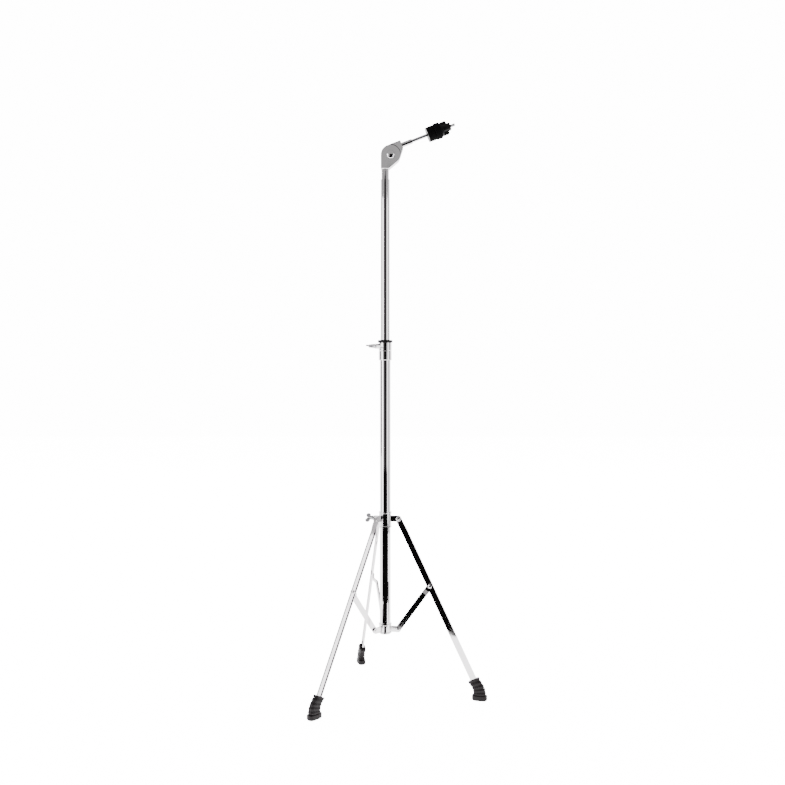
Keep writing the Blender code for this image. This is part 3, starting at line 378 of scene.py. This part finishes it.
def make_rivet_tail(side, azimuth, material):
    """The flattened tail of the brace's rivet, on the open side of the leg."""
    turn = Matrix.Rotation(math.radians(azimuth - 90.0), 4, "Z")
    place = Matrix.Translation((MAST_X, MAST_Y, COLLAR_PIVOT_Z)) @ turn
    leg = place @ Matrix.Translation((PIVOT_RADIUS, 0.0, 0.0)) @ Matrix.Rotation(-LEG_SPREAD, 4, "Y")
    profile = [(TAIL_RADIUS, 0.0), (TAIL_RADIUS, TAIL_HEIGHT * TAIL_STRAIGHT_SHARE)]
    for i in range(1, TAIL_DOME_STEPS):
        angle = math.radians(90.0 * i / TAIL_DOME_STEPS)
        height = TAIL_HEIGHT * (TAIL_STRAIGHT_SHARE + TAIL_DOME_SHARE * math.sin(angle))
        profile.append((TAIL_RADIUS * math.cos(angle), height))
    shape = bmesh.new()
    rows = []
    for radius, height in profile:
        row = []
        for i in range(TAIL_SEGMENTS):
            angle = 2 * math.pi * i / TAIL_SEGMENTS
            x = radius * math.cos(angle)
            z = radius * math.sin(angle) - LEG_TO_BRACE_PIVOT
            row.append(shape.verts.new(leg @ Vector((x, TAIL_START + height, z))))
        rows.append(row)
    for row, after in zip(rows, rows[1:]):
        band(shape, row, after)
    shape.faces.new(rows[0][::-1])
    shape.faces.new(rows[-1])
    obj = mesh_object(f"rivet_tail_{side}", shape, material)
    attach(obj, f"leg_{side}")


def dress(names, material):
    """Give CAD nodes a material."""
    for name in names:
        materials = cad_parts[name].data.materials
        materials.clear()
        materials.append(material)


def dress_stand():
    """Materials on the CAD nodes, and the pieces that are added to them."""
    sides = list(LEG_AZIMUTHS)
    tube_chrome = chrome("tube_chrome", (500.0, 500.0, 3.0))
    cast_chrome = chrome("cast_chrome", (160.0, 160.0, 160.0), (0.78, 0.76, 0.77), 0.05)
    sheet_chrome = pressed_chrome("pressed_chrome")
    dress(["lower_tube", "upper_tube", "height_clamp"], tube_chrome)
    dress(["brace_hub", "leg_collar", "tilter_lower", "tilter_upper", "tilter_bolt"], cast_chrome)
    dress([f"{piece}_{side}" for piece in ("leg", "brace") for side in sides], sheet_chrome)
    rivets = ("leg_rivet", "hub_rivet", "brace_rivet")
    dress([f"{piece}_{side}" for piece in rivets for side in sides], cast_chrome)
    dress(["clamp_screw", "collar_screw", "tilter_nut", "tilter_washer"], zinc("bright_zinc"))
    dress(["cymbal_rod"], threaded_chrome("rod_chrome"))
    dress([f"foot_{side}" for side in sides], rubber("foot_rubber"))
    nylon_pieces = ["clamp_bush", "glide_plug", "tube_end_plug", "seat_washer", "cymbal_sleeve"]
    dress(nylon_pieces, nylon("black_nylon", 0.30, 0.44))
    dress(["cymbal_nut"], nylon("nut_nylon", 0.34, 0.50))
    black_felt = felt("black_felt")
    make_felt("lower_felt", LOWER_FELT, black_felt)
    make_felt("upper_felt", UPPER_FELT, black_felt)
    for side, azimuth in LEG_AZIMUTHS.items():
        make_rivet_tail(side, azimuth, cast_chrome)


def spot_at(bearing, distance, height):
    """A place round the mast: bearing 0 is towards the camera, positive to the right."""
    angle = math.radians(bearing)
    return Vector((MAST_X + distance * math.sin(angle), MAST_Y - distance * math.cos(angle), height))


def make_card(name, bearing, distance, width, height, glow):
    """A studio card that stands upright and faces the stand; the camera does not see it."""
    shape = bmesh.new()
    half = width / 2
    corners = ((-half, 0.0), (half, 0.0), (half, height), (-half, height))
    shape.faces.new([shape.verts.new((x, 0.0, z)) for x, z in corners])
    g = Graph(name + "_surface", Base_Color=(0.0, 0.0, 0.0, 1.0), Roughness=1.0, Specular_IOR_Level=0.0,
              Emission_Color=(1.0, 0.98, 1.0, 1.0), Emission_Strength=glow)
    obj = mesh_object(name, shape, g.material)
    obj.location = spot_at(bearing, distance, 0.0)
    obj.rotation_euler.z = math.radians(bearing)
    obj.visible_camera = False
    obj.visible_shadow = False


def level_sheet(name, half_width, front, back, height, material):
    """A level rectangle of the studio's ground."""
    shape = bmesh.new()
    corners = ((-half_width, front), (half_width, front), (half_width, back), (-half_width, back))
    shape.faces.new([shape.verts.new((x, y, height)) for x, y in corners])
    obj = mesh_object(name, shape, material)
    return obj


def make_front_ground():
    """The dark studio floor beyond the front edge of the sweep."""
    g = Graph("dark_ground", Base_Color=(0.003, 0.003, 0.003, 1.0), Roughness=1.0, Specular_IOR_Level=0.0)
    extent = (GROUND_HALF_WIDTH, GROUND_FRONT, FLOOR_EDGE, GROUND_LEVEL)
    ground = level_sheet("front_ground", *extent, g.material)
    ground.visible_camera = False


def make_floor():
    """A pale sweep under the stand, which ends a little in front of it."""
    g = Graph("paper", Roughness=1.0, Specular_IOR_Level=0.0, Emission_Color=(1.0, 1.0, 1.0, 1.0))
    tooth = g.noise(g.place(), 30.0, 4.0)
    g.colours(tooth, (0.86, 0.86, 0.86), (0.88, 0.88, 0.88))
    path = g.nodes.new("ShaderNodeLightPath")
    glow = g.span(path, "Is Camera Ray", 0.0, 1.0, FLOOR_GLOW, FLOOR_SEEN)
    g.join(glow, "Result", g.shader, "Emission Strength")
    level_sheet("floor", FLOOR_HALF_WIDTH, FLOOR_EDGE, FLOOR_BACK, 0.0, g.material)


def make_world():
    """Surroundings that are white to look at and grey in the chrome and as light on the stand."""
    world = bpy.data.worlds.new("studio")
    bpy.context.scene.world = world
    world.use_nodes = True
    nodes = world.node_tree.nodes
    links = world.node_tree.links
    background = nodes["Background"]
    background.inputs["Color"].default_value = (1.0, 1.0, 1.0, 1.0)
    path = nodes.new("ShaderNodeLightPath")
    level = None
    for ray, strength in (("Is Glossy Ray", WORLD_IN_CHROME), ("Is Camera Ray", WORLD_SEEN)):
        step = nodes.new("ShaderNodeMath")
        step.operation = "MULTIPLY_ADD"
        links.new(path.outputs[ray], step.inputs[0])
        step.inputs[1].default_value = strength - WORLD_LIGHT
        step.inputs[2].default_value = WORLD_LIGHT
        if level is not None:
            links.new(level.outputs["Value"], step.inputs[2])
        level = step
    links.new(level.outputs["Value"], background.inputs["Strength"])


def make_light(name, bearing, power):
    """A soft upright area light that faces the mast."""
    data = bpy.data.lights.new(name, "AREA")
    data.shape = "RECTANGLE"
    data.size = LIGHT_WIDTH
    data.size_y = LIGHT_TALLNESS
    data.energy = power
    light = link(name, data)
    light.location = spot_at(bearing, LIGHT_DISTANCE, LIGHT_HEIGHT)
    aim = spot_at(bearing, 0.0, LIGHT_HEIGHT) - spot_at(bearing, LIGHT_DISTANCE, LIGHT_HEIGHT)
    light.rotation_euler = aim.to_track_quat("-Z", "Y").to_euler()
    light.visible_camera = False


def make_studio():
    """White surroundings, the cards, the dark and the pale ground, and the lights."""
    make_world()
    for name, values in CARDS.items():
        make_card(name, *values)
    make_front_ground()
    make_floor()
    for name, values in LIGHTS.items():
        make_light(name, *values)


def make_camera():
    """The camera of the photograph."""
    data = bpy.data.cameras.new("camera")
    data.lens = FOCAL_LENGTH
    data.sensor_width = SENSOR_WIDTH
    camera = link("camera", data)
    camera.location = (MAST_X + CAMERA_ASIDE, MAST_Y - CAMERA_DISTANCE, CAMERA_HEIGHT)
    camera.rotation_euler = (math.radians(90.0) - CAMERA_PITCH, 0.0, 0.0)
    bpy.context.scene.camera = camera


dress_stand()
make_studio()
make_camera()
